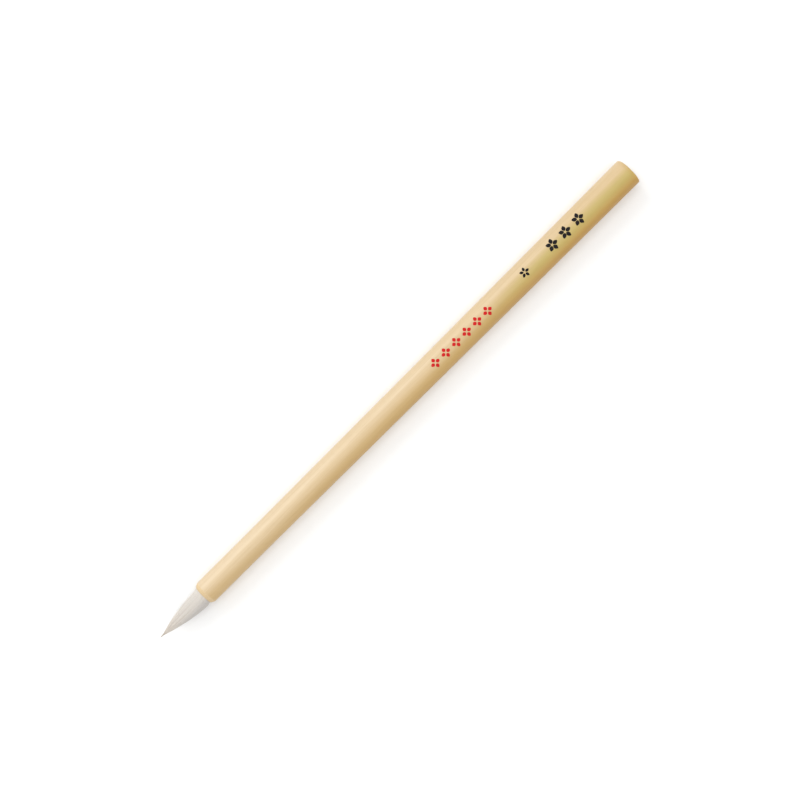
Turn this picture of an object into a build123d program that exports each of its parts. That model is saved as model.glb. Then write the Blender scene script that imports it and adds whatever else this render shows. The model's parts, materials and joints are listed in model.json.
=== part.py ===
"""A small bamboo calligraphy brush, lying on its side, tuft towards -X and head end towards +X.

The handle is one length of bamboo culm. Its mouth is reamed to a socket, and the root of the
tuft is glued into it. The tuft is a core bundle inside a thinner veil of cover hair, seared at
the root end and tied with hemp thread, and a few longer hairs in its middle make the fine point.

The tuft flexes. It bends sideways at two stations, one at the mouth and one halfway along, so
both layers are cut there. Each cut is a ball in a cup, and so the pieces keep their gap as they
turn. Every size is in millimetres.
"""

import os
from math import atan, cos, degrees, radians, sin, sqrt

from build123d import *

# Handle, measured along the brush from the front face of the mouth.
HANDLE_LENGTH = 182.0
STRAIGHT_LENGTH = 22.0  # the turned-true stretch behind the mouth
MOUTH_WALL = 0.88
MOUTH_LAND = 0.18  # the flat ring left between the socket and the mouth's bevel
BEVEL_LENGTH = 1.2
HANDLE_GROWTH = 0.72  # how much the culm's radius grows from the straight stretch to the head
HEAD_ROUND = 0.35
BORE_RADIUS = 2.2  # the culm's natural hollow
BORE_CHAMFER = 0.25

# Tuft.
TUFT_LENGTH = 18.4  # from the mouth's front face to the end of the fine point
ROOT_RADIUS = 2.9
ROOT_LENGTH = 11.4
BELLY_SWELL = 0.15  # how much the belly stands out beyond the root, in radius
COVER_THICKNESS = 0.5
TAPER_POWER = 1.7  # 1 is a cone, 2 is a parabola
POINT_OVERHANG = 0.35  # the fine point beyond the apex that the tuft's outline runs to
POINT_RADIUS = 0.3
POINT_TIP_RADIUS = 0.08
LAYER_LIP = 0.1  # the smallest wall that a layer is left with around the fine hairs

# Bends.
THROAT_PIVOT = 9.0  # the second bend, from the mouth's front face
BEND_GAP = 0.06  # between each ball and its cup
ROOT_RIM = 0.18  # the root's wall around its cup, at the mouth
BELLY_CUP_DEPTH = 1.0  # how far the belly's rim stands back from the second pivot

# Glue, seal and thread.
GLUE_THICKNESS = 0.1
GLUE_SETBACK = 0.4
SEAL_THICKNESS = 0.4
SEAT_GAP = 0.2  # between the seal and the socket's shoulder
THREAD_DIAMETER = 0.4
THREAD_TURNS = 4
TURN_GAP = 0.03  # between neighbouring turns
THREAD_GAP = 0.02  # on either side of the thread in its groove
THREAD_SETBACK = 1.2  # from the groove's end to the root's end
GROOVE_SLOPE = 0.3
TAIL_SQUEEZE = 0.2  # how much slimmer the root is behind the thread, in radius

# Ink inlays in the handle: rows of little blossoms, one after another from the head end.
INK_DEPTH = 0.12
PETAL_GAP = 0.32  # from a blossom's middle to the root of each petal
BLACK_TURN = 7.0  # degrees that the black row is turned from the top towards +Y
BLACK_FROM_HEAD = 21.8
BLACK_PITCH = 5.5
BLACK_COUNT = 3
BLACK_PETALS = 5
BLACK_PETAL = (1.75, 1.25)  # length, width
SMALL_FROM_BLACK = 11.7
SMALL_PETALS = 5
SMALL_PETAL = (1.35, 0.9)
RED_TURN = 2.8
RED_FROM_SMALL = 16.1
RED_PITCH = 4.43
RED_COUNT = 6
RED_PETALS = 4
RED_PETAL = (1.35, 1.15)

# What follows from them.
belly_radius = ROOT_RADIUS + BELLY_SWELL
socket_radius = ROOT_RADIUS + GLUE_THICKNESS
socket_depth = ROOT_LENGTH + SEAL_THICKNESS + SEAT_GAP
mouth_radius = socket_radius + MOUTH_WALL
head_radius = mouth_radius + HANDLE_GROWTH
belly_cup_radius = belly_radius + BEND_GAP
belly_pivot = sqrt(belly_cup_radius**2 - (ROOT_RADIUS - ROOT_RIM) ** 2)
apex = TUFT_LENGTH - POINT_OVERHANG
thread_pitch = THREAD_DIAMETER + TURN_GAP
groove_end = ROOT_LENGTH - THREAD_SETBACK
groove_start = groove_end - (THREAD_TURNS + 1) * thread_pitch

# The brush lies on Z = 0, with X = 0 halfway along it. The side plane's own x runs from the
# mouth's front face into the handle, and its own y is the radius, so the tuft is at negative x.
mouth_x = TUFT_LENGTH - (HANDLE_LENGTH + TUFT_LENGTH) / 2
mouth_centre = (mouth_x, 0, head_radius)
brush_axis = Axis(mouth_centre, (1, 0, 0))
side_plane = Plane(mouth_centre, x_dir=(1, 0, 0), z_dir=(0, -1, 0))


def tuft_radius(station, inset=0.0):
    """The tuft's radius at a station out from the mouth, or that of the layer that far inside it."""
    taper = (station - belly_pivot) / (apex - belly_pivot)
    return belly_radius * (1 - taper**TAPER_POWER) - inset


def station_of(radius, inset=0.0):
    """The station where the tuft, or the layer inside it, has narrowed to a radius."""
    taper = (1 - (radius + inset) / belly_radius) ** (1 / TAPER_POWER)
    return belly_pivot + taper * (apex - belly_pivot)


def taper_points(first, last, inset=0.0, spans=5):
    """Points along the tapering outline between two stations, evenly spaced."""
    stations = [first + (last - first) * i / spans for i in range(spans + 1)]
    return [(-s, tuft_radius(s, inset)) for s in stations]


def root_points(inset=0.0):
    """The root's outline, from its seared end to the mouth, with the groove that the thread ties."""
    groove_radius = ROOT_RADIUS - THREAD_DIAMETER - 2 * THREAD_GAP
    tail = ROOT_RADIUS - TAIL_SQUEEZE
    points = [
        (ROOT_LENGTH, tail),
        (groove_end + GROOVE_SLOPE, tail),
        (groove_end, groove_radius),
        (groove_start, groove_radius),
        (groove_start - GROOVE_SLOPE, ROOT_RADIUS),
        (0, ROOT_RADIUS),
    ]
    return [(x, radius - inset) for x, radius in points]


def row(last, pitch, count):
    """The places of a row of blossoms, from the last one back towards the mouth."""
    return [last - i * pitch for i in range(count)]


def ink_plane(place, turn):
    """The plane of a blossom's outline, over the handle, at a place along it."""
    normal = (0, sin(radians(turn)), cos(radians(turn)))
    over = Plane((mouth_x + place, 0, head_radius), x_dir=(1, 0, 0), z_dir=normal)
    return over.offset(head_radius + INK_DEPTH)


def blossom(place, turn, count, petal_size):
    """A ring of petals pressed straight down through the handle's skin."""
    length, width = petal_size
    with BuildSketch() as petal:
        with BuildLine():
            ThreePointArc((0, 0), (length / 2, width / 2), (length, 0))
            ThreePointArc((length, 0), (length / 2, -width / 2), (0, 0))
        make_face()
    with BuildPart() as stamp:
        with BuildSketch(ink_plane(place, turn)):
            with PolarLocations(PETAL_GAP, count):
                add(petal.sketch)
        extrude(amount=-head_radius)
    return stamp.part


def inlay(label, stamps):
    """The ink of a row of blossoms: what their stamps share with the handle's skin."""
    with BuildPart() as ink:
        for stamp in stamps:
            add(stamp)
        add(ink_skin.part, mode=Mode.INTERSECT)
    ink.part.label = label
    return ink.part


# The skin of the handle, as deep as the ink goes.
with BuildPart() as ink_skin:
    with BuildSketch(side_plane):
        with BuildLine():
            Polyline(
                (STRAIGHT_LENGTH, mouth_radius),
                (HANDLE_LENGTH, head_radius),
                (HANDLE_LENGTH, head_radius - INK_DEPTH),
                (STRAIGHT_LENGTH, mouth_radius - INK_DEPTH),
                close=True,
            )
        make_face()
    revolve(axis=brush_axis)

black_places = row(HANDLE_LENGTH - BLACK_FROM_HEAD, BLACK_PITCH, BLACK_COUNT)
small_place = black_places[-1] - SMALL_FROM_BLACK
red_places = row(small_place - RED_FROM_SMALL, RED_PITCH, RED_COUNT)
black_stamps = [blossom(place, BLACK_TURN, BLACK_PETALS, BLACK_PETAL) for place in black_places]
black_stamps.append(blossom(small_place, BLACK_TURN, SMALL_PETALS, SMALL_PETAL))
red_stamps = [blossom(place, RED_TURN, RED_PETALS, RED_PETAL) for place in red_places]
black_ink = inlay("black_ink_inlay", black_stamps)
red_ink = inlay("red_ink_inlay", red_stamps)

# The culm: bevelled mouth, reamed socket, natural hollow and square-cut head.
with BuildPart() as handle:
    with BuildSketch(side_plane):
        with BuildLine():
            Polyline(
                (0, socket_radius),
                (0, socket_radius + MOUTH_LAND),
                (BEVEL_LENGTH, mouth_radius),
                (STRAIGHT_LENGTH, mouth_radius),
                (HANDLE_LENGTH, head_radius),
                (HANDLE_LENGTH, BORE_RADIUS),
                (socket_depth, BORE_RADIUS),
                (socket_depth, socket_radius),
                close=True,
            )
        make_face()
    revolve(axis=brush_axis)
    head_edges = handle.edges().filter_by(GeomType.CIRCLE).group_by(Axis.X)[-1]
    bore_edge, rim_edge = head_edges.sort_by(SortBy.RADIUS)
    fillet(rim_edge, HEAD_ROUND)
    chamfer(bore_edge, BORE_CHAMFER)
    add(black_ink, mode=Mode.SUBTRACT)
    add(red_ink, mode=Mode.SUBTRACT)
handle.part.label = "bamboo_handle"

# The tuft's outlines, from the axis out, each drawn where it stands in the side plane.

# The fine hairs in the tuft's middle, rooted just ahead of the second bend.
point_root = THROAT_PIVOT + BELLY_CUP_DEPTH
cover_front = station_of(POINT_RADIUS + LAYER_LIP)
with BuildSketch() as point_outline:
    with BuildLine():
        Polyline(
            (-point_root, 0),
            (-point_root, POINT_RADIUS),
            (-cover_front, POINT_RADIUS),
            (-TUFT_LENGTH, POINT_TIP_RADIUS),
            (-TUFT_LENGTH, 0),
            close=True,
        )
    make_face()

# All that lies inside the cover hair, from the seared end to where the core runs out.
core_front = station_of(POINT_RADIUS + LAYER_LIP, COVER_THICKNESS)
with BuildSketch() as core_outline:
    with BuildLine():
        inner_taper = taper_points(belly_pivot, core_front, COVER_THICKNESS)
        Polyline((ROOT_LENGTH, 0), *root_points(COVER_THICKNESS), inner_taper[0])
        Spline(*inner_taper)
        Polyline(inner_taper[-1], (-core_front, 0), (ROOT_LENGTH, 0))
    make_face()

# The root, which stays in the socket, with a cup for the belly's ball.
with BuildSketch() as root_outline:
    with BuildLine():
        Polyline((ROOT_LENGTH, 0), *root_points(), (0, 0), close=True)
    make_face()
    with Locations((-belly_pivot, 0)):
        Circle(belly_cup_radius, mode=Mode.SUBTRACT)

# The belly, from the ball at the first bend to the cup at the second.
throat_slope = atan((tuft_radius(THROAT_PIVOT) - tuft_radius(THROAT_PIVOT + LAYER_LIP)) / LAYER_LIP)
throat_ball_radius = tuft_radius(THROAT_PIVOT) * cos(throat_slope)
belly_front = THROAT_PIVOT - BELLY_CUP_DEPTH
with BuildSketch() as belly_outline:
    with BuildLine():
        belly_taper = taper_points(belly_pivot, belly_front)
        CenterArc((-belly_pivot, 0), belly_radius, 0, 90)
        Spline(*belly_taper)
        Polyline(belly_taper[-1], (-belly_front, 0), (belly_radius - belly_pivot, 0))
    make_face()
    with Locations((-THROAT_PIVOT, 0)):
        Circle(throat_ball_radius + BEND_GAP, mode=Mode.SUBTRACT)

# The throat, from the ball at the second bend to where the fine hairs come out.
with BuildSketch() as throat_outline:
    with BuildLine():
        ball_end = THROAT_PIVOT + throat_ball_radius * sin(throat_slope)
        ball_end_radius = throat_ball_radius * cos(throat_slope)
        throat_taper = [(-ball_end, ball_end_radius)] + taper_points(ball_end, cover_front)[1:]
        CenterArc((-THROAT_PIVOT, 0), throat_ball_radius, 0, 90 + degrees(throat_slope))
        Spline(*throat_taper)
        Polyline(throat_taper[-1], (-cover_front, 0), (throat_ball_radius - THROAT_PIVOT, 0))
    make_face()
    add(point_outline.sketch, mode=Mode.SUBTRACT)

with BuildPart() as point_hair:
    with BuildSketch(side_plane):
        add(point_outline.sketch)
    revolve(axis=brush_axis)
point_hair.part.label = "point_hair"

# Each stretch of the tuft is a core inside its own stretch of cover hair.
tuft_pieces = []
stretches = (("root", root_outline), ("belly", belly_outline), ("throat", throat_outline))
for name, outline in stretches:
    with BuildPart() as core:
        with BuildSketch(side_plane):
            add(outline.sketch)
            add(core_outline.sketch, mode=Mode.INTERSECT)
        revolve(axis=brush_axis)
    core.part.label = "core_hair_" + name
    with BuildPart() as cover:
        with BuildSketch(side_plane):
            add(outline.sketch)
            add(core_outline.sketch, mode=Mode.SUBTRACT)
        revolve(axis=brush_axis)
    cover.part.label = "cover_hair_" + name
    tuft_pieces += [core.part, cover.part]

# The seared and hardened end of the root.
with BuildPart() as seal:
    with BuildSketch(side_plane):
        with BuildLine():
            tail_radius = root_points()[0][1]
            Polyline(
                (ROOT_LENGTH, 0),
                (ROOT_LENGTH, tail_radius),
                (ROOT_LENGTH + SEAL_THICKNESS, tail_radius),
                (ROOT_LENGTH + SEAL_THICKNESS, 0),
                close=True,
            )
        make_face()
    revolve(axis=brush_axis)
seal.part.label = "root_seal"

# The film of glue between the root and the socket.
with BuildPart() as glue:
    with BuildSketch(side_plane):
        with BuildLine():
            Polyline(
                (GLUE_SETBACK, ROOT_RADIUS),
                (GLUE_SETBACK, socket_radius),
                (ROOT_LENGTH, socket_radius),
                (ROOT_LENGTH, ROOT_RADIUS),
                close=True,
            )
        make_face()
    revolve(axis=brush_axis)
glue.part.label = "socket_glue"

# The hemp thread, wound round the root in its groove.
thread_centre = ROOT_RADIUS - THREAD_GAP - THREAD_DIAMETER / 2
thread_start = groove_start + thread_pitch / 2
with BuildPart() as thread:
    with BuildLine() as winding:
        Helix(
            pitch=thread_pitch,
            height=THREAD_TURNS * thread_pitch,
            radius=thread_centre,
            center=(mouth_x + thread_start, 0, head_radius),
            direction=(1, 0, 0),
        )
    with BuildSketch(Plane(winding.line @ 0, z_dir=winding.line % 0)):
        Circle(THREAD_DIAMETER / 2)
    sweep(path=winding.line, is_frenet=True)
thread.part.label = "binding_thread"

os.makedirs("parts", exist_ok=True)
pieces = [handle.part, black_ink, red_ink, glue.part, thread.part, seal.part, point_hair.part]
for piece in pieces + tuft_pieces:
    export_step(piece, "parts/" + piece.label + ".step")
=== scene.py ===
"""The looks of a bamboo calligraphy brush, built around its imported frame.

The brush lies along X, with its tuft towards -X and its head end towards +X. The culm, the two
rows of ink and every hair that shows are made here, each over the piece of the frame that it
stands for. What the culm hides, such as the thread and the seal, keeps the frame's own shape
and gets its finish here.
"""

import json
from math import asin, cos, pi, radians, sin, tau

import bpy
import numpy as np
from bpy.props import FloatProperty, FloatVectorProperty, IntProperty, PointerProperty
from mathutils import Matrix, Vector, noise


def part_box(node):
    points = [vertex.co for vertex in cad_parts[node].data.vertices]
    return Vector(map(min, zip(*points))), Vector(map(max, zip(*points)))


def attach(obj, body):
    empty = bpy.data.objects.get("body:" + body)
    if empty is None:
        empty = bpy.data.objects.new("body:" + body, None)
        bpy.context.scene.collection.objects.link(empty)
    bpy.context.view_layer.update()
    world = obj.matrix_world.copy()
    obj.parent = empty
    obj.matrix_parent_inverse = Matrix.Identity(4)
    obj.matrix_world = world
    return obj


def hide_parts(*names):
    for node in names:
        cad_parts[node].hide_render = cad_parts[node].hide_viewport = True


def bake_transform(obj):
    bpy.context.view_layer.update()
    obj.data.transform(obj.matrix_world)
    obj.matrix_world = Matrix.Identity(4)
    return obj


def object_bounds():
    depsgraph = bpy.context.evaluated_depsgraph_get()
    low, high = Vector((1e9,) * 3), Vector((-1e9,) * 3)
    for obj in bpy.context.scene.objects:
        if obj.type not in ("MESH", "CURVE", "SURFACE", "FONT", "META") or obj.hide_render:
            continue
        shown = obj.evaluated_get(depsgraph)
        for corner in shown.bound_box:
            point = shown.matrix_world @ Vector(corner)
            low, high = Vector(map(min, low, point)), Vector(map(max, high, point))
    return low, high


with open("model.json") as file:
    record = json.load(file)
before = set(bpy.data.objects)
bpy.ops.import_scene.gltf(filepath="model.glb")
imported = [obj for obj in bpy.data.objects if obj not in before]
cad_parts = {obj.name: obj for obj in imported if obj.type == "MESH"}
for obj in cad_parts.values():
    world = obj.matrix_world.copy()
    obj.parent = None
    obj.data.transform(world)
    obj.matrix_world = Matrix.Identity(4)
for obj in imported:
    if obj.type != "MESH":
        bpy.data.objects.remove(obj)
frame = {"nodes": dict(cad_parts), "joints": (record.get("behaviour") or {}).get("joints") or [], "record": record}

bl_info = {
    "name": "Calligraphy Brush",
    "version": (1, 0, 0),
    "blender": (4, 5, 0),
    "location": "View3D > Sidebar > Brush",
    "description": "Makes a bamboo calligraphy brush with an inked culm and a pointed hair tuft",
    "category": "Add Mesh",
}

MM = 0.001
SEED = 11
SEAT_GAP = 0.2 * MM  # between the seared root and the socket's floor

# The frame's own sizes, in metres. Stations are distances out from the mouth, towards the tip.
cad_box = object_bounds()
mounts = {mount["name"]: mount for mount in frame["record"]["mounts"]}
pivots = {joint["name"]: joint["pos_m"] for joint in frame["joints"]}
culm_low, culm_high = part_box("bamboo_handle")
mouth_x = culm_low.x
head_x = culm_high.x
axis_z = mounts["head_bore"]["pos_m"][2]
collar_radius = mounts["cap_collar"]["dims"]["r_mm"] * MM
collar_length = mounts["cap_collar"]["dims"]["length_mm"] * MM
bevel_length = mounts["cap_collar"]["pos_m"][0] - mouth_x - collar_length / 2
bore_radius = mounts["head_bore"]["dims"]["r_mm"] * MM
head_radius = culm_high.z - axis_z
socket_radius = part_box("socket_glue")[1].z - axis_z
socket_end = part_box("root_seal")[1].x + SEAT_GAP
belly_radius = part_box("cover_hair_belly")[1].z - axis_z
tip_station = mouth_x - cad_box[0].x
waist_station = mouth_x - pivots["waist_bend"][0]
throat_station = mouth_x - pivots["throat_bend"][0]


# ---------------------------------------------------------------------------------------
# What a user would change
# ---------------------------------------------------------------------------------------


def length(name, description, default):
    """A length in metres, for the panel."""
    return FloatProperty(
        name=name, description=description, default=default, min=0.0, precision=6,
        unit="LENGTH", subtype="DISTANCE",
    )


def count(name, description, default, least):
    """A whole number, for the panel."""
    return IntProperty(name=name, description=description, default=default, min=least)


def angle(name, description, degrees):
    """An angle, for the panel."""
    return FloatProperty(
        name=name, description=description, default=radians(degrees), subtype="ANGLE"
    )


def colour(name, description, default):
    """A colour in linear light, for the panel."""
    return FloatVectorProperty(
        name=name, description=description, default=default, size=3, min=0.0, max=1.0,
        subtype="COLOR",
    )


class CulmSettings(bpy.types.PropertyGroup):
    """The bamboo handle."""

    mouth_land: length("Mouth land", "Width of the flat ring round the socket", 0.2 * MM)
    straight_length: length("Collar", "Length turned parallel for a cap", 22 * MM)
    head_round: length("Head rounding", "Radius of the sawn head's rim", 0.35 * MM)
    head_wear: length("Head wear", "How much rounder the rim is on its +Y side", 0.45 * MM)
    fibre_depth: length("Fibre depth", "Height of the fibre ridges in the skin", 0.012 * MM)
    oval: length("Ovality", "How far the culm is out of round", 0.03 * MM)
    bow: length("Bow", "How far the culm's middle stands off towards -Y", 0.05 * MM)
    pale: colour("Pale skin", "Colour of the skin at the mouth", (0.625, 0.475, 0.285))
    deep: colour("Deep skin", "Colour of the skin at the head", (0.562, 0.395, 0.186))
    # Painted shade on the culm's -Y side, and wear at the head's rim
    shade_and_wear: colour("Tanned skin", "Colour of the -Y side", (0.465, 0.26, 0.015))
    # Painted shade at the far edge of the culm's -Y side
    painted_edge_shade: colour("Toasted skin", "Colour of the -Y side's edge", (0.34, 0.15, 0.0))
    fibre: colour("Fibres", "Colour of the darker fibres", (0.42, 0.255, 0.08))
    green: colour("Olive streak", "What is left of the living culm's green", (0.43, 0.327, 0.04))
    cut: colour("Cut bamboo", "Colour of the sawn and bevelled faces", (0.66, 0.49, 0.275))


class InkSettings(bpy.types.PropertyGroup):
    """The rows of blossoms in the culm's skin."""

    black_count: count("Black blossoms", "How many large black blossoms there are", 3, 1)
    red_count: count("Red blossoms", "How many red blossoms there are", 6, 1)
    black_petals: count("Black petals", "Petals of each black blossom", 5, 2)
    red_petals: count("Red petals", "Petals of each red blossom", 4, 2)
    black_turn: angle("Black turn", "How far the black row is turned towards +Y", 7.0)
    red_turn: angle("Red turn", "How far the red row is turned towards +Y", 2.8)
    root_gap: length("Root gap", "From a blossom's middle to each petal", 0.32 * MM)
    black_petal: length("Black petal", "Length of a petal of the large blossoms", 1.75 * MM)
    black_width: length("Black petal width", "Width of the same petal", 1.25 * MM)
    black_pitch: length("Black pitch", "From one large blossom to the next", 5.5 * MM)
    small_gap: length("Small blossom", "From the large blossoms to the small one", 11.7 * MM)
    small_petal: length("Small petal", "Length of a petal of the small blossom", 1.35 * MM)
    small_width: length("Small petal width", "Width of the same petal", 0.9 * MM)
    red_petal: length("Red petal", "Length of a petal of the red blossoms", 1.35 * MM)
    red_width: length("Red petal width", "Width of the same petal", 1.15 * MM)
    red_pitch: length("Red pitch", "From one red blossom to the next", 4.43 * MM)
    proud: length("Pigment height", "How far the pigment stands over the skin", 0.014 * MM)
    black: colour("Black ink", "Pigment of the row at the head end", (0.006, 0.004, 0.005))
    red: colour("Red ink", "Pigment of the row in the middle", (0.52, 0.008, 0.010))


class TuftSettings(bpy.types.PropertyGroup):
    """The hair."""

    strands: count("Strands", "Hairs in the outer veil", 950, 50)
    clumps: count("Locks", "Locks that the hairs gather in", 46, 3)
    point_hairs: count("Point hairs", "Hairs in the fine point", 70, 3)
    thickness: length("Hair thickness", "Radius of one hair", 0.042 * MM)
    veil: length("Veil depth", "How deep the outer hairs lie", 0.14 * MM)
    lean: length("Lean", "How far the root leans towards -Y", 0.32 * MM)
    white: colour("White hair", "The lightest hairs", (0.665, 0.632, 0.588))
    cream: colour("Cream hair", "The warmest hairs", (0.655, 0.568, 0.478))
    # The grey also stands in for painted shade: under the veil and on the tuft's -Y side
    grey: colour("Grey hair", "The greyest hairs, as under the veil", (0.458, 0.435, 0.425))
    tip: colour("Hair tips", "The brown of the hairs' own tips", (0.27, 0.195, 0.125))


class BrushSettings(bpy.types.PropertyGroup):
    """Everything that can be set."""

    culm: PointerProperty(type=CulmSettings)
    ink: PointerProperty(type=InkSettings)
    tuft: PointerProperty(type=TuftSettings)


# ---------------------------------------------------------------------------------------
# Finishes
# ---------------------------------------------------------------------------------------


class Value:
    """A number that varies over a surface. Arithmetic on it adds the nodes that work it out."""

    def __init__(self, finish, socket):
        self.finish = finish
        self.socket = socket

    def worked(self, operation, first, second):
        node = self.finish.node("ShaderNodeMath", {"operation": operation}, {0: first, 1: second})
        return Value(self.finish, node.outputs[0])

    def __add__(self, other):
        return self.worked("ADD", self, other)

    def __radd__(self, other):
        return self.worked("ADD", other, self)

    def __sub__(self, other):
        return self.worked("SUBTRACT", self, other)

    def __rsub__(self, other):
        return self.worked("SUBTRACT", other, self)

    def __mul__(self, other):
        return self.worked("MULTIPLY", self, other)

    def __rmul__(self, other):
        return self.worked("MULTIPLY", other, self)

    def __abs__(self):
        return self.worked("ABSOLUTE", self, 0.0)


class Finish:
    """A material and its one shader, with the ways to add nodes to it."""

    def __init__(self, name, **constants):
        self.material = bpy.data.materials.new(name)
        self.material.use_nodes = True
        self.tree = self.material.node_tree
        self.shader = self.tree.nodes["Principled BSDF"]
        for socket, value in constants.items():
            self.shader.inputs[socket.replace("_", " ")].default_value = value

    def node(self, kind, settings=None, values=None):
        """Any node: its settings are set first, then its sockets get their values or links."""
        node = self.tree.nodes.new(kind)
        for key, setting in (settings or {}).items():
            setattr(node, key, setting)
        for key, value in (values or {}).items():
            self.feed(node.inputs[key], value)
        return node

    def feed(self, socket, value):
        """Gives a socket a number, a colour or a link."""
        if isinstance(value, Value):
            value = value.socket
        if isinstance(value, bpy.types.NodeSocket):
            self.tree.links.new(value, socket)
        elif hasattr(value, "__len__") and len(value) == 3 and len(socket.default_value) == 4:
            socket.default_value = (*value, 1.0)
        else:
            socket.default_value = value

    def place(self):
        """Where a point is in the row frame, in metres."""
        return self.node("ShaderNodeTexCoord").outputs["Object"]

    def coordinates(self):
        """The same place as three numbers."""
        split = self.node("ShaderNodeSeparateXYZ", values={"Vector": self.place()})
        return [Value(self, output) for output in split.outputs]

    def stretched(self, scale, offset=(0.0, 0.0, 0.0)):
        """The place, scaled by a factor for each axis."""
        values = {"Vector": self.place(), "Scale": scale, "Location": offset}
        return self.node("ShaderNodeMapping", values=values).outputs[0]

    def grain(self, place, detail=2.0, roughness=0.5):
        """Cloudy noise, about one cloud to each unit of the place."""
        values = {"Vector": place, "Scale": 1.0, "Detail": detail, "Roughness": roughness}
        return Value(self, self.node("ShaderNodeTexNoise", values=values).outputs["Fac"])

    def cells(self, place, randomness=1.0):
        """Distance from the middle of the nearest of many cells, about one to each unit."""
        values = {"Vector": place, "Scale": 1.0, "Randomness": randomness}
        node = self.node("ShaderNodeTexVoronoi", {"feature": "F1"}, values)
        return Value(self, node.outputs["Distance"])

    def attribute(self, name):
        """A number stored with the mesh, which stays with it as it bends."""
        node = self.node("ShaderNodeAttribute", {"attribute_name": name})
        return Value(self, node.outputs["Fac"])

    def step(self, value, low, high):
        """0 below low, 1 above high, and a smooth rise between them."""
        settings = {"interpolation_type": "SMOOTHSTEP", "clamp": True}
        values = {"Value": value, "From Min": low, "From Max": high}
        return Value(self, self.node("ShaderNodeMapRange", settings, values).outputs["Result"])

    def mix(self, first, second, share):
        """A colour between two colours."""
        settings = {"data_type": "RGBA"}
        return self.node("ShaderNodeMix", settings, {0: share, 6: first, 7: second}).outputs[2]

    def bump(self, height, distance):
        """Fine relief, from a height between 0 and 1 and what 1 stands for."""
        values = {"Height": height, "Distance": distance, "Strength": 1.0}
        relief = self.node("ShaderNodeBump", values=values)
        self.feed(self.shader.inputs["Normal"], relief.outputs[0])

    def set(self, **links):
        """Feeds the shader's sockets."""
        for socket, value in links.items():
            self.feed(self.shader.inputs[socket.replace("_", " ")], value)
        return self.material


def bamboo_skin(culm):
    """The polished outside of the culm: long fibres, slow changes of tone, an olive streak and painted shade on
    its -Y side.
    """
    finish = Finish("bamboo skin", Coat_Roughness=0.4, Coat_IOR=1.6, Specular_IOR_Level=0.7)
    x, y, z = finish.coordinates()
    tone = finish.grain(finish.stretched((22.0, 260.0, 260.0)), detail=3.0)
    fine = finish.grain(finish.stretched((60.0, 3600.0, 3600.0)), detail=3.0, roughness=0.65)
    coarse = finish.grain(finish.stretched((26.0, 1100.0, 1100.0), (3.0, 1.0, 5.0)), detail=2.0)
    along = finish.step(x, mouth_x, head_x)
    skin = finish.mix(culm.pale, culm.deep, along * 0.75 + finish.step(tone, 0.3, 0.7) * 0.25)
    # Painted shade: the -Y side is mixed towards a deeper brown, more so towards the head
    painted_shade_side = finish.step(tone * (1.2 * MM) - y, -1.6 * MM, 4.4 * MM)
    skin = finish.mix(skin, culm.shade_and_wear, painted_shade_side * (0.5 + 0.5 * along))
    # Painted shade: the far -Y edge is darkened further, more so towards the head; the coat is thinned there too
    edge = finish.step(tone * (0.8 * MM) - y, 2.4 * MM, 5.2 * MM)
    skin = finish.mix(skin, culm.painted_edge_shade, edge * (0.2 + 0.4 * along))
    fibres = finish.step(fine * 0.6 + coarse * 0.4, 0.46, 0.66)
    skin = finish.mix(skin, culm.fibre, fibres * 0.24)
    streak_start = head_x - 62 * MM
    streak_along = finish.step(x + tone * (14 * MM), streak_start, streak_start + 34 * MM)
    beside = abs(y + coarse * (1.1 * MM) + 0.1 * MM)
    streak = (1 - finish.step(beside, 0.2 * MM, 2.7 * MM)) * streak_along
    skin = finish.mix(skin, culm.green, streak * finish.step(z, axis_z, axis_z + 2 * MM) * 0.68)
    bevel_end = mouth_x + bevel_length
    scraped = 1 - finish.step(x, bevel_end - 0.1 * MM, bevel_end + 0.5 * MM)
    skin = finish.mix(skin, culm.cut, scraped * (0.3 + 0.3 * coarse))
    handled = finish.step(x, head_x - 1.8 * MM, head_x - 0.2 * MM)
    skin = finish.mix(skin, culm.shade_and_wear, handled * (0.15 + 0.4 * coarse))
    finish.bump(fine * 0.55 + coarse * 0.45, 0.03 * MM)
    roughness = 0.4 + 0.1 * fine + 0.06 * tone
    polish = (0.42 + 0.2 * tone) * (1 - 0.7 * edge)
    return finish.set(Base_Color=skin, Roughness=roughness, Coat_Weight=polish)


def bamboo_cut(culm):
    """Sawn and pared bamboo, across the fibres: dots of brown strands in paler wood."""
    finish = Finish("cut bamboo", Specular_IOR_Level=0.35)
    strands = finish.cells(finish.stretched((700.0, 4600.0, 4600.0)), 0.95)
    dots = 1 - finish.step(strands, 0.12, 0.4)
    saw = finish.grain(finish.stretched((4000.0, 500.0, 2600.0)), detail=3.0, roughness=0.6)
    wood = finish.mix(culm.cut, culm.pale, saw * 0.7)
    wood = finish.mix(wood, culm.fibre, dots * (0.15 + 0.4 * saw))
    finish.bump(saw * 0.6 + (1 - dots) * 0.4, 0.03 * MM)
    return finish.set(Base_Color=wood, Roughness=0.62 + 0.14 * saw)


def bamboo_hollow(culm):
    """The inside of the culm, with its dry brown lining."""
    finish = Finish("bamboo hollow", Specular_IOR_Level=0.25)
    lining = finish.grain(finish.stretched((180.0, 1400.0, 1400.0)), detail=4.0, roughness=0.6)
    wood = finish.mix(culm.cut, culm.fibre, 0.25 + 0.6 * lining)
    finish.bump(lining, 0.06 * MM)
    return finish.set(Base_Color=wood, Roughness=0.75 + 0.15 * lining)


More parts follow.
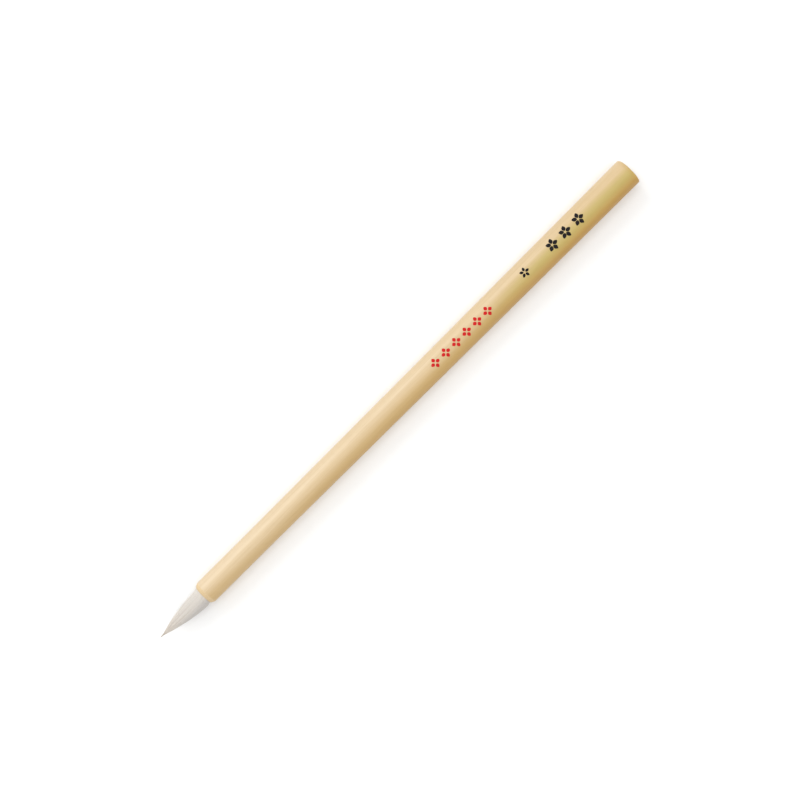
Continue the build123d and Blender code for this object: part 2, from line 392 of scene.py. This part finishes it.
def pigment(name, ink_colour, worn_colour):
    """Dry pigment laid by a fine brush, a little uneven and worn through in pinpoints."""
    finish = Finish(name, Specular_IOR_Level=0.22)
    streaks = finish.grain(finish.stretched((1500.0, 2600.0, 2600.0)), detail=3.0, roughness=0.6)
    pinholes = finish.grain(finish.stretched((7000.0, 7000.0, 7000.0)), detail=1.0)
    tone = finish.mix(ink_colour, worn_colour, finish.step(streaks, 0.55, 0.85) * 0.25)
    tone = finish.mix(tone, worn_colour, finish.step(pinholes, 0.7, 0.8) * 0.35)
    finish.bump(streaks, 0.012 * MM)
    return finish.set(Base_Color=tone, Roughness=0.6 + 0.25 * streaks)


def hair_finish(name, tuft, lightest, warmest):
    """Dry animal hair: each strand has its own tint, all are warmer towards the point, and the -Y side is greyed
    as painted shade.
    """
    finish = Finish(name, Sheen_Weight=0.25, Sheen_Roughness=0.4, Specular_IOR_Level=0.45)
    tint = finish.attribute("tint")
    along = finish.attribute("along")
    side = finish.attribute("side")
    mottle = finish.grain(finish.stretched((500.0, 3000.0, 3000.0)), detail=2.0)
    warmth = finish.step(along, 0.35, 1.0) * 0.4 + 0.42 * tint
    tone = finish.mix(lightest, warmest, warmth)
    # Painted shade: hairs on the tuft's -Y side are mixed towards grey
    painted_hair_shade = finish.step(side + 1.2 * mottle, 1.2, 3.0) * 0.5
    greyed = finish.step(tint + 0.25 * mottle, 0.82, 1.15) * 0.5
    tone = finish.mix(tone, tuft.grey, greyed + painted_hair_shade)
    tone = finish.mix(tone, tuft.tip, finish.step(along, 0.84, 0.98) * (0.5 + 0.4 * mottle))
    return finish.set(Base_Color=tone, Roughness=0.48 + 0.2 * mottle)


def packed_hair(name, light, dark):
    """A bundle of hairs pressed together, seen as close stripes along the brush."""
    finish = Finish(name, Specular_IOR_Level=0.35)
    stripes = finish.grain(finish.stretched((120.0, 9000.0, 9000.0)), detail=3.0, roughness=0.65)
    locks = finish.grain(finish.stretched((90.0, 1500.0, 1500.0)), detail=2.0)
    tone = finish.mix(light, dark, finish.step(stripes * 0.6 + locks * 0.4, 0.35, 0.68))
    finish.bump(stripes, 0.06 * MM)
    return finish.set(Base_Color=tone, Roughness=0.55 + 0.2 * stripes)


def hemp():
    """Waxed hemp: two plies twisted together, in dry straw colours."""
    finish = Finish("waxed hemp", Specular_IOR_Level=0.4)
    wave = finish.node(
        "ShaderNodeTexWave",
        {"wave_type": "BANDS", "bands_direction": "DIAGONAL"},
        {"Vector": finish.stretched((5200.0, 2600.0, 2600.0)), "Scale": 1.0, "Distortion": 1.5},
    )
    plies = Value(finish, wave.outputs["Fac"])
    fuzz = finish.grain(finish.stretched((9000.0, 9000.0, 9000.0)), detail=3.0)
    tone = finish.mix((0.52, 0.38, 0.20), (0.30, 0.20, 0.09), plies * 0.6 + 0.35 * fuzz)
    finish.bump(plies * 0.7 + fuzz * 0.3, 0.05 * MM)
    return finish.set(Base_Color=tone, Roughness=0.55 + 0.25 * fuzz)


def amber_glue():
    """A thin film of set glue, amber and slightly cloudy."""
    finish = Finish("amber glue", Specular_IOR_Level=0.6, Coat_Roughness=0.1)
    clouds = finish.grain(finish.stretched((700.0, 900.0, 900.0)), detail=3.0)
    tone = finish.mix((0.52, 0.27, 0.06), (0.66, 0.44, 0.18), clouds)
    finish.bump(clouds, 0.03 * MM)
    return finish.set(Base_Color=tone, Roughness=0.14 + 0.22 * clouds, Coat_Weight=0.3 * clouds)


def seared_hair():
    """Hair melted to a hard brown crust, with blisters and singed stubs."""
    finish = Finish("seared hair", Specular_IOR_Level=0.5)
    crust = finish.grain(finish.stretched((2600.0, 2600.0, 2600.0)), detail=4.0, roughness=0.65)
    stubs = finish.cells(finish.stretched((5200.0, 5200.0, 5200.0)))
    tone = finish.mix((0.014, 0.009, 0.006), (0.10, 0.055, 0.025), finish.step(crust, 0.4, 0.7))
    finish.bump(crust * 0.5 + stubs * 0.5, 0.07 * MM)
    return finish.set(Base_Color=tone, Roughness=0.35 + 0.4 * crust)


# ---------------------------------------------------------------------------------------
# Mesh making
# ---------------------------------------------------------------------------------------


def add_piece(name, points, faces, finishes, smooth_below=radians(40)):
    """A new object from points in the row frame, smooth but for edges sharper than an angle."""
    mesh = bpy.data.meshes.new(name)
    mesh.from_pydata(np.asarray(points).reshape(-1, 3).tolist(), [], faces)
    mesh.validate()
    mesh.shade_smooth()
    mesh.set_sharp_from_angle(angle=smooth_below)
    for finish in finishes:
        mesh.materials.append(finish)
    piece = bpy.data.objects.new(name, mesh)
    bpy.context.scene.collection.objects.link(piece)
    return piece


def grid_faces(rows, columns, first=0, closed_rows=False, closed_columns=False):
    """Faces of a grid of points, one row after another, which may join up either way."""
    faces = []
    for i in range(rows if closed_rows else rows - 1):
        for j in range(columns if closed_columns else columns - 1):
            below = first + (i + 1) % rows * columns
            here = first + i * columns
            following = (j + 1) % columns
            faces.append((here + j, here + following, below + following, below + j))
    return faces


def store(piece, name, numbers):
    """Stores a number at each point of a piece."""
    attribute = piece.data.attributes.new(name, "FLOAT", "POINT")
    attribute.data.foreach_set("value", np.asarray(numbers, np.float32).ravel())


def skin_radius(x, culm):
    """The culm's outer radius, from the collar's end to the head."""
    share = (x - mouth_x - culm.straight_length) / (head_x - mouth_x - culm.straight_length)
    return collar_radius + (head_radius - collar_radius) * max(share, 0.0)


def around(x, angle, radius):
    """A point at an angle from the top towards +Y, at a radius from the brush's axis."""
    return (x, radius * sin(angle), axis_z + radius * cos(angle))


# ---------------------------------------------------------------------------------------
# The culm
# ---------------------------------------------------------------------------------------

SKIN, CUT, HOLLOW = range(3)


def rim_outline(angle, culm):
    """The outline of the head's rim at an angle: skin to sawn face, rounder on its worn side."""
    worn = 0.5 + 0.5 * sin(angle)
    round_off = culm.head_round + culm.head_wear * worn**2
    radius = skin_radius(head_x, culm)
    steps = 6
    turns = [pi / 2 * i / steps for i in range(steps + 1)]
    return [(head_x - round_off * (1 - sin(t)), radius - round_off * (1 - cos(t))) for t in turns]


def culm_outline(angle, culm):
    """One outline of the culm, from the socket's floor round by the skin to the hollow."""
    ragged = 0.05 * MM * noise.noise(Vector((2.2 * cos(angle), 2.2 * sin(angle), 4.0)))
    lip = socket_radius + culm.mouth_land
    bevel_end = mouth_x + bevel_length + 1.6 * ragged
    ease = 0.07 * MM
    clean = 1.2 * MM  # how far into the socket the wood is freshly cut
    points = [
        (socket_end, bore_radius, HOLLOW),
        (socket_end, socket_radius - ease, HOLLOW),
        (socket_end - ease, socket_radius, HOLLOW),
        (mouth_x + clean, socket_radius, HOLLOW),
        (mouth_x + ease, socket_radius, CUT),
        (mouth_x + ease / 4, socket_radius + ease / 3, CUT),
        (mouth_x, socket_radius + ease, CUT),
        (mouth_x, lip + ragged - ease / 2, CUT),
        (mouth_x + ease / 2, lip + ragged + ease / 4, CUT),
    ]
    bulge = 0.05 * MM
    bevel_rise = collar_radius - lip - ragged
    for share in (0.25, 0.5, 0.75):
        x = mouth_x + share * (bevel_end - mouth_x)
        swell = bulge * 4 * share * (1 - share)
        points.append((x, lip + ragged + share * bevel_rise + swell, CUT))
    points.append((bevel_end - ease, collar_radius - ease / 3, CUT))
    points.append((bevel_end + ease, collar_radius, SKIN))
    rim = rim_outline(angle, culm)
    last_x = rim[0][0]
    stations = 150
    for i in range(1, stations):
        x = bevel_end + ease + (last_x - bevel_end - ease) * i / stations
        points.append((x, skin_radius(x, culm), SKIN))
    points += [(x, radius, SKIN) for x, radius in rim[:3]]
    points += [(x, radius, CUT) for x, radius in rim[3:]]
    chamfer = 0.25 * MM
    face = rim[-1][1] - bore_radius - chamfer
    points += [(head_x, bore_radius + chamfer + face * share, CUT) for share in (0.66, 0.33, 0.06)]
    points.append((head_x - 0.02 * MM, bore_radius + chamfer * 0.9, CUT))
    points.append((head_x - chamfer * 0.9, bore_radius + 0.02 * MM, HOLLOW))
    depth = head_x - chamfer - socket_end
    for share in (0.01, 0.05, 0.2, 0.5, 0.8):
        points.append((head_x - chamfer - depth * share, bore_radius, HOLLOW))
    return points


def grown(x, angle, radius, kind, culm):
    """A point of the culm as it grew: a little oval, a little bowed and ridged by its fibres."""
    if kind == SKIN:
        along = Vector((9 * cos(angle), 9 * sin(angle), x * 16))
        fine = Vector((26 * cos(angle), 26 * sin(angle), x * 30 + 7))
        radius += culm.fibre_depth * (noise.noise(along) + 0.6 * noise.noise(fine))
    if kind == HOLLOW and x > socket_end + 1 * MM:
        radius += 0.07 * MM * noise.noise(Vector((1.6 * cos(angle), 1.6 * sin(angle), x * 60)))
    x_share = (x - mouth_x) / (head_x - mouth_x)
    radius += culm.oval * x_share * cos(2 * angle + 1.1)
    bow = culm.bow * sin(pi * min(max(x_share, 0.0), 1.0))
    x_at, y, z = around(x, angle, radius)
    return (x_at, y - bow, z - 0.3 * bow)


def make_culm(settings):
    """The bamboo culm, as one closed shell with a socket, a hollow and sawn ends."""
    culm = settings.culm
    segments = 224
    points = []
    for j in range(segments):
        angle = tau * j / segments
        for x, radius, kind in culm_outline(angle, culm):
            points.append(grown(x, angle, radius, kind, culm))
    kinds = [kind for x, radius, kind in culm_outline(0.0, culm)]
    faces = grid_faces(segments, len(kinds), closed_rows=True, closed_columns=True)
    finishes = (bamboo_skin(culm), bamboo_cut(culm), bamboo_hollow(culm))
    piece = add_piece("bamboo_culm", points, faces, finishes)
    slots = []
    for here, following in zip(kinds, kinds[1:] + kinds[:1]):
        slots.append(max(here, following) if SKIN in (here, following) else here)
    piece.data.polygons.foreach_set("material_index", np.tile(slots, segments))
    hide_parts("bamboo_handle")
    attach(piece, "handle")


# ---------------------------------------------------------------------------------------
# The ink
# ---------------------------------------------------------------------------------------


def petal_points(middle, turn, petal, settings, wobble):
    """The top and the underside of one petal, laid over the culm's skin."""
    ink, culm = settings.ink, settings.culm
    row_turn, petal_length, petal_width = petal
    rows, columns = 19, 9
    surfaces = []
    for lift in (1.0, -4.0):  # the top, and the underside well down in the skin
        for i in range(rows):
            share = 0.5 - 0.5 * cos(pi * (0.02 + 0.96 * i / (rows - 1)))
            half = petal_width / 2 * sin(pi * share**0.92) ** 0.8
            half *= 1 + 0.06 * wobble * sin(9 * share)
            out = ink.root_gap + petal_length * share
            for j in range(columns):
                across = 2 * j / (columns - 1) - 1
                x = middle + out * cos(turn) - half * across * sin(turn)
                over = out * sin(turn) + half * across * cos(turn)
                height = ink.proud * lift * (1 - 0.6 * abs(across) ** 3 * (lift > 0))
                radius = skin_radius(x, culm)
                turned = asin(over / radius) + row_turn
                surfaces.append(grown(x, turned, radius + height, SKIN, culm))
    return surfaces, rows, columns


def petal_faces(first, rows, columns):
    """A closed shell from the two surfaces of a petal."""
    under = first + rows * columns
    faces = grid_faces(rows, columns, first)
    faces += [face[::-1] for face in grid_faces(rows, columns, under)]
    edge = list(range(columns))
    edge += [i * columns + columns - 1 for i in range(1, rows)]
    edge += [(rows - 1) * columns + j for j in range(columns - 2, -1, -1)]
    edge += [i * columns for i in range(rows - 2, 0, -1)]
    for here, following in zip(edge, edge[1:] + edge[:1]):
        faces.append((first + following, first + here, under + here, under + following))
    return faces


def make_row(name, node, finish, blossoms, settings):
    """A row of blossoms, each given as its middle, its number of petals and one petal."""
    chance = np.random.default_rng(SEED)
    points, faces = [], []
    for middle, petals, petal in blossoms:
        for k in range(petals):
            turn, wobble = tau * k / petals, chance.uniform(-1, 1)
            shape, rows, columns = petal_points(middle, turn, petal, settings, wobble)
            faces += petal_faces(len(points), rows, columns)
            points += shape
    piece = add_piece(name, points, faces, (finish,))
    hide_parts(node)
    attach(piece, "handle")


def make_ink(settings):
    """The black row at the head end and the red row in the middle."""
    ink = settings.ink
    large = (ink.black_turn, ink.black_petal, ink.black_width)
    small = (ink.black_turn, ink.small_petal, ink.small_width)
    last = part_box("black_ink_inlay")[1].x - ink.root_gap - ink.black_petal
    middles = [last - i * ink.black_pitch for i in range(ink.black_count)]
    black = [(middle, ink.black_petals, large) for middle in middles]
    black.append((middles[-1] - ink.small_gap, ink.black_petals, small))
    black_finish = pigment("black ink", ink.black, (0.12, 0.08, 0.05))
    make_row("black_blossoms", "black_ink_inlay", black_finish, black, settings)
    petal = (ink.red_turn, ink.red_petal, ink.red_width)
    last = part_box("red_ink_inlay")[1].x - ink.root_gap - ink.red_petal
    middles = [last - i * ink.red_pitch for i in range(ink.red_count)]
    red = [(middle, ink.red_petals, petal) for middle in middles]
    red_finish = pigment("red ink", ink.red, (0.58, 0.07, 0.04))
    make_row("red_blossoms", "red_ink_inlay", red_finish, red, settings)


# ---------------------------------------------------------------------------------------
# The tuft
# ---------------------------------------------------------------------------------------

APEX = tip_station - 0.35 * MM  # where the tuft's outline would close
TAPER = 1.7  # 1 is a cone, 2 is a parabola
SPLIT = (waist_station + throat_station) / 2 - 0.45 * MM  # where the tuft's two halves meet
TUBE_SIDES = 5


def tuft_radius(station):
    """The tuft's radius at stations out from the mouth."""
    beyond = np.clip((station - waist_station) / (APEX - waist_station), 0, 1)
    before = np.clip((waist_station - station) / waist_station, 0, 1.6)
    return belly_radius * (1 - beyond**TAPER) - 0.09 * MM * before**2


def lean_at(station, tuft):
    """How far the tuft's middle stands off the axis at stations out from the mouth."""
    share = np.clip(station / APEX, 0, 1)
    clear = np.clip(station / (1.6 * MM), 0, 1)
    return -tuft.lean * clear**2 * (3 - 2 * clear) * (1 - share) ** 1.3


def hair_tubes(name, stations, angles, radii, thickness, finish, tuft):
    """Hairs as thin tubes with closed ends, from arrays of one row for each hair."""
    hairs, steps = stations.shape
    sides = TUBE_SIDES
    lean = lean_at(stations, tuft)
    out = np.stack([np.zeros_like(angles), np.sin(angles), np.cos(angles)], -1)
    beside = np.stack([np.zeros_like(angles), np.cos(angles), -np.sin(angles)], -1)
    middle = np.stack([mouth_x - stations, lean, np.full_like(lean, axis_z)], -1)
    middle = middle + out * radii[..., None]
    turns = (tau * np.arange(sides) / sides)[:, None]
    ring = out[..., None, :] * np.cos(turns) + beside[..., None, :] * np.sin(turns)
    points = middle[..., None, :] + ring * thickness[..., None, None]
    one = grid_faces(steps, sides, closed_columns=True)
    ends = [tuple(range(sides))[::-1], tuple((steps - 1) * sides + k for k in range(sides))]
    faces = []
    for hair in range(hairs):
        first = hair * steps * sides
        faces += [tuple(first + corner for corner in face) for face in one + ends]
    piece = add_piece(name, points, faces, (finish,), smooth_below=radians(76))
    along = np.clip(stations / tip_station, 0, 1)
    side = -(lean + radii * np.sin(angles)) / MM
    store(piece, "along", np.repeat(along, sides, axis=1))
    store(piece, "side", np.repeat(side, sides, axis=1))
    return piece


def veil(tuft):
    """The outer hairs: their angles, depths, ends and tints, gathered in locks."""
    chance = np.random.default_rng(SEED)
    hairs = tuft.strands
    angle = tau * (np.arange(hairs) + chance.uniform(-0.5, 0.5, hairs)) / hairs
    locks = np.sort(chance.uniform(0, tau, tuft.clumps))
    nearest = np.argmin(np.abs(np.angle(np.exp(1j * (angle[:, None] - locks)))), axis=1)
    pull = np.angle(np.exp(1j * (locks[nearest] - angle)))
    lock_height = chance.uniform(0.0, 1.0, tuft.clumps)[nearest]
    lock_tint = chance.uniform(0.0, 1.0, tuft.clumps)[nearest]
    reach = chance.uniform(0.0, 1.0, hairs)
    end = waist_station + (1 - 0.97 * reach**1.3) ** (1 / TAPER) * (APEX - waist_station)
    depth = chance.uniform(0.0, 1.0, hairs) ** 1.3
    tint = np.clip(0.5 * lock_tint + 0.7 * chance.uniform(0, 1, hairs) ** 2, 0, 1)
    phase = chance.uniform(0, tau, hairs)
    thick = chance.uniform(0.75, 1.2, hairs)
    return {
        "angle": angle,
        "pull": pull,
        "height": lock_height,
        "end": end,
        "depth": depth,
        "tint": tint,
        "phase": phase,
        "thick": thick,
    }


def veil_part(name, hairs, stations, tuft, finish):
    """One half of the veil, over an array of stations for each hair."""
    share = np.clip(stations / APEX, 0, 1)
    gather = hairs["pull"][:, None] * 0.42 * share**1.2
    wave = 0.018 * np.sin(hairs["phase"][:, None] + 700 * stations)
    angles = hairs["angle"][:, None] + gather + wave * share
    taper = 3.4 * MM  # the length over which a hair thins to its end
    ending = np.clip((stations - hairs["end"][:, None] + taper) / taper, 0, 1)
    sink = tuft.veil * (hairs["depth"] * 0.75)[:, None]
    sink = sink + 0.07 * MM * (1 - hairs["height"])[:, None] * share**0.5
    sink = sink + 0.06 * MM * ending**2
    outline = tuft_radius(stations)
    thickness = tuft.thickness * hairs["thick"][:, None] * (1 - 0.7 * ending**2)
    radii = np.maximum(outline - np.minimum(sink, outline * 0.2) - thickness, 0.02 * MM)
    piece = hair_tubes(name, stations, angles, radii, thickness, finish, tuft)
    store(piece, "tint", np.repeat(hairs["tint"], stations.shape[1] * TUBE_SIDES))
    return piece


def under_part(name, first, last, tuft, finish):
    """One half of what lies under the veil: a closed, softly grooved body of hair."""
    steps, segments = 30, 120
    stations = np.linspace(first, last, steps)
    angles = tau * np.arange(segments) / segments
    outline = tuft_radius(stations)
    groove = np.array([noise.noise(Vector((7 * cos(a), 7 * sin(a), 1.0))) for a in angles])
    radii = np.maximum(outline - np.minimum(0.17 * MM, outline * 0.24), 0.03 * MM)[:, None]
    radii = radii * (1 + 0.012 * groove)
    lean = lean_at(stations, tuft)[:, None]
    x = np.repeat((mouth_x - stations)[:, None], segments, axis=1)
    points = np.stack([x, lean + radii * np.sin(angles), axis_z + radii * np.cos(angles)], -1)
    faces = grid_faces(steps, segments, closed_columns=True)
    near_end = tuple(range(segments))
    faces += [near_end[::-1], tuple((steps - 1) * segments + k for k in near_end)]
    piece = add_piece(name, points, faces, (finish,))
    store(piece, "tint", 0.55 + 0.4 * np.tile(groove, steps))
    store(piece, "along", np.repeat(stations / tip_station, segments))
    store(piece, "side", -(lean + radii * np.sin(angles)) / MM)
    return piece


def make_point(tuft, finish):
    """The few longest hairs, gathered in the fine point."""
    chance = np.random.default_rng(SEED + 1)
    hairs, steps = tuft.point_hairs, 16
    start = tip_station - chance.uniform(4.2, 5.6, hairs) * MM
    end = tip_station - chance.uniform(0.0, 1.0, hairs) ** 2.2 * 1.9 * MM
    end[0] = tip_station
    stations = start[:, None] + (end - start)[:, None] * np.linspace(0, 1, steps)
    angles = np.repeat(chance.uniform(0, tau, hairs)[:, None], steps, axis=1)
    left = np.clip((tip_station - stations) / (5 * MM), 0, 1)
    spread = 0.03 * MM + 0.42 * MM * left**0.65
    radii = chance.uniform(0.0, 1.0, hairs)[:, None] ** 0.5 * spread
    taper = np.clip((end[:, None] - stations) / (2.2 * MM), 0, 1)
    thickness = tuft.thickness * (0.55 + 0.6 * taper**0.7)
    piece = hair_tubes("point_hairs", stations, angles, radii, thickness, finish, tuft)
    store(piece, "tint", np.repeat(chance.uniform(0.3, 0.9, hairs), steps * TUBE_SIDES))
    return piece


def on_axis(x):
    """A place on the brush's axis."""
    return (x, 0, axis_z)


def make_tuft(settings):
    """The hair that shows, in two halves that meet at the split."""
    tuft = settings.tuft
    outer = hair_finish("white hair", tuft, tuft.white, tuft.cream)
    # Painted shade: the body under the veil runs from cream to grey, darker than the white veil over it
    inner = hair_finish("hair under the veil", tuft, tuft.cream, tuft.grey)
    hairs = veil(tuft)
    veil_start, body_start = -1.1 * MM, -1.0 * MM  # a little way inside the mouth
    root_steps, tip_steps = 15, 22
    rooted = np.ones((tuft.strands, 1)) * np.linspace(veil_start, SPLIT, root_steps)
    onward = SPLIT + (hairs["end"][:, None] - SPLIT) * np.linspace(0, 1, tip_steps)
    root_veil = veil_part("tuft_root_hairs", hairs, rooted, tuft, outer)
    tip_veil = veil_part("tuft_tip_hairs", hairs, onward, tuft, outer)
    root_under = under_part("tuft_root_body", body_start, SPLIT, tuft, inner)
    tip_under = under_part("tuft_tip_body", SPLIT, APEX - 0.4 * MM, tuft, inner)
    point = make_point(tuft, outer)

    for piece in (root_veil, root_under):
        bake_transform(piece)
    throat_x = mouth_x - throat_station
    bend_reach = throat_station - SPLIT - 0.4 * MM
    throat_start = on_axis(throat_x + bend_reach)
    throat_end = on_axis(throat_x - bend_reach)
    for piece in (tip_veil, tip_under, point):
        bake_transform(piece)
    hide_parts("cover_hair_root")
    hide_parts("cover_hair_belly", "core_hair_belly")
    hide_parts("cover_hair_throat")
    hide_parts("core_hair_throat")
    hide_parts("point_hair")


# ---------------------------------------------------------------------------------------
# What the culm and the veil hide
# ---------------------------------------------------------------------------------------


def finish_inner_pieces(settings):
    """The pieces that keep the frame's own shape."""
    tuft = settings.tuft
    finishes = {
        "core_hair_root": packed_hair("core hair", tuft.white, tuft.grey),
        "binding_thread": hemp(),
        "socket_glue": amber_glue(),
        "root_seal": seared_hair(),
    }
    for name, finish in finishes.items():
        for slot in frame["nodes"][name].material_slots:
            slot.material = finish


# ---------------------------------------------------------------------------------------
# The stage
# ---------------------------------------------------------------------------------------

CAMERA_TURN = radians(-44.9)  # so that the brush runs up to the right
VIEW_DISTANCE = 0.6
VIEW_WIDTH = 0.2424
VIEW_RIGHT, VIEW_UP = 1.60 * MM, 1.27 * MM  # how far the view's middle is off the brush's


def softbox(name, place, size, power, tone):
    """A square soft light that faces the middle of the brush."""
    light = bpy.data.lights.new(name, "AREA")
    light.shape = "SQUARE"
    light.size = size
    light.energy = power
    light.color = tone
    lamp = bpy.data.objects.new(name, light)
    lamp.location = place
    towards_brush = Vector((0, 0, axis_z)) - Vector(place)
    lamp.rotation_euler = towards_brush.to_track_quat("-Z", "Y").to_euler()
    lamp.visible_camera = False
    bpy.context.scene.collection.objects.link(lamp)


def make_floor():
    """A pale sheet under the brush, swept up all round into a low wall far behind it."""
    flat, sweep, wall = 1.7, 0.9, 0.6
    rings, steps = 4, 24
    profile = [(flat * (i + 1) / rings, 0.0) for i in range(rings)]
    turns = [pi / 2 * (i + 1) / steps for i in range(steps)]
    profile += [(flat + sweep * sin(turn), sweep * (1 - cos(turn))) for turn in turns]
    profile.append((flat + sweep, sweep + wall))
    slope = (head_radius - collar_radius) / (head_x - mouth_x - bevel_length)
    segments = 96
    points = []
    for out, height in profile:
        for k in range(segments):
            x, y = out * cos(tau * k / segments), out * sin(tau * k / segments)
            points.append((x, y, height + slope * (head_x - x) + axis_z - head_radius))
    faces = grid_faces(len(profile), segments, closed_columns=True)
    faces.append(tuple(range(segments)))
    finish = Finish("pale sheet", Specular_IOR_Level=0.2)
    paper = finish.grain(finish.stretched((900.0, 900.0, 900.0)), detail=3.0)
    tone = finish.mix((0.93, 0.93, 0.925), (0.95, 0.95, 0.95), paper)
    finish.set(Base_Color=tone, Roughness=0.85 + 0.1 * paper)
    add_piece("pale_sheet", points, faces, (finish.material,))


def make_camera():
    """A camera straight above the middle of the brush."""
    data = bpy.data.cameras.new("camera")
    data.lens = data.sensor_width * VIEW_DISTANCE / VIEW_WIDTH
    data.clip_start = 0.01
    camera = bpy.data.objects.new("camera", data)
    right = Vector((cos(CAMERA_TURN), sin(CAMERA_TURN), 0))
    up = Vector((-sin(CAMERA_TURN), cos(CAMERA_TURN), 0))
    middle = VIEW_RIGHT * right + VIEW_UP * up
    camera.location = middle + Vector((0, 0, axis_z + VIEW_DISTANCE))
    camera.rotation_euler = (0, 0, CAMERA_TURN)
    bpy.context.scene.collection.objects.link(camera)
    bpy.context.scene.camera = camera


def make_stage():
    """Floor, lights and camera."""
    scene = bpy.context.scene
    scene.view_settings.view_transform = "Standard"
    make_floor()
    make_camera()
    softbox("key_softbox", (-0.2, 1.2, 0.75), 0.95, 9.7, (0.95, 0.98, 1.0))
    softbox("top_softbox", (0.0, 0.0, 1.5), 1.7, 12.0, (1.0, 1.0, 1.0))
    softbox("fill_softbox", (0.2, -1.3, 0.8), 1.2, 2.4, (1.0, 0.97, 0.92))
    world = bpy.data.worlds.new("studio")
    world.use_nodes = True
    background = world.node_tree.nodes["Background"]
    background.inputs["Color"].default_value = (1.0, 1.0, 1.0, 1.0)
    background.inputs["Strength"].default_value = 0.6
    scene.world = world


# ---------------------------------------------------------------------------------------
# The add-on
# ---------------------------------------------------------------------------------------


class CALLIGRAPHY_OT_culm(bpy.types.Operator):
    """Make the bamboo culm"""

    bl_idname = "calligraphy.culm"
    bl_label = "Bamboo culm"

    def execute(self, context):
        make_culm(context.scene.calligraphy_brush)
        return {"FINISHED"}


class CALLIGRAPHY_OT_ink(bpy.types.Operator):
    """Make the two rows of ink blossoms in the culm's skin"""

    bl_idname = "calligraphy.ink"
    bl_label = "Ink rows"

    def execute(self, context):
        make_ink(context.scene.calligraphy_brush)
        return {"FINISHED"}


class CALLIGRAPHY_OT_tuft(bpy.types.Operator):
    """Make the hair: the veil, what lies under it and the fine point"""

    bl_idname = "calligraphy.tuft"
    bl_label = "Hair tuft"

    def execute(self, context):
        make_tuft(context.scene.calligraphy_brush)
        return {"FINISHED"}


class CALLIGRAPHY_OT_inner_pieces(bpy.types.Operator):
    """Finish the core hair, the thread, the glue and the seal"""

    bl_idname = "calligraphy.inner_pieces"
    bl_label = "Inner pieces"

    def execute(self, context):
        finish_inner_pieces(context.scene.calligraphy_brush)
        return {"FINISHED"}


class CALLIGRAPHY_OT_stage(bpy.types.Operator):
    """Make the floor, the soft lights and the camera"""

    bl_idname = "calligraphy.stage"
    bl_label = "Stage"

    def execute(self, context):
        make_stage()
        return {"FINISHED"}


operators = (
    CALLIGRAPHY_OT_culm,
    CALLIGRAPHY_OT_ink,
    CALLIGRAPHY_OT_tuft,
    CALLIGRAPHY_OT_inner_pieces,
    CALLIGRAPHY_OT_stage,
)


class CALLIGRAPHY_PT_panel(bpy.types.Panel):
    """The brush's pieces and settings"""

    bl_idname = "CALLIGRAPHY_PT_panel"
    bl_label = "Calligraphy Brush"
    bl_space_type = "VIEW_3D"
    bl_region_type = "UI"
    bl_category = "Brush"

    def draw(self, context):
        settings = context.scene.calligraphy_brush
        for group in (settings.culm, settings.ink, settings.tuft):
            box = self.layout.box()
            for name in group.__annotations__:
                box.prop(group, name)
        for operator in operators:
            self.layout.operator(operator.bl_idname)


classes = (CulmSettings, InkSettings, TuftSettings, BrushSettings, *operators, CALLIGRAPHY_PT_panel)


def register():
    for cls in classes:
        bpy.utils.register_class(cls)
    bpy.types.Scene.calligraphy_brush = PointerProperty(type=BrushSettings)


def unregister():
    del bpy.types.Scene.calligraphy_brush
    for cls in reversed(classes):
        bpy.utils.unregister_class(cls)


def main():
    register()
    bpy.ops.calligraphy.culm()
    bpy.ops.calligraphy.ink()
    bpy.ops.calligraphy.tuft()
    bpy.ops.calligraphy.inner_pieces()
    bpy.ops.calligraphy.stage()


if __name__ == "__main__":
    main()
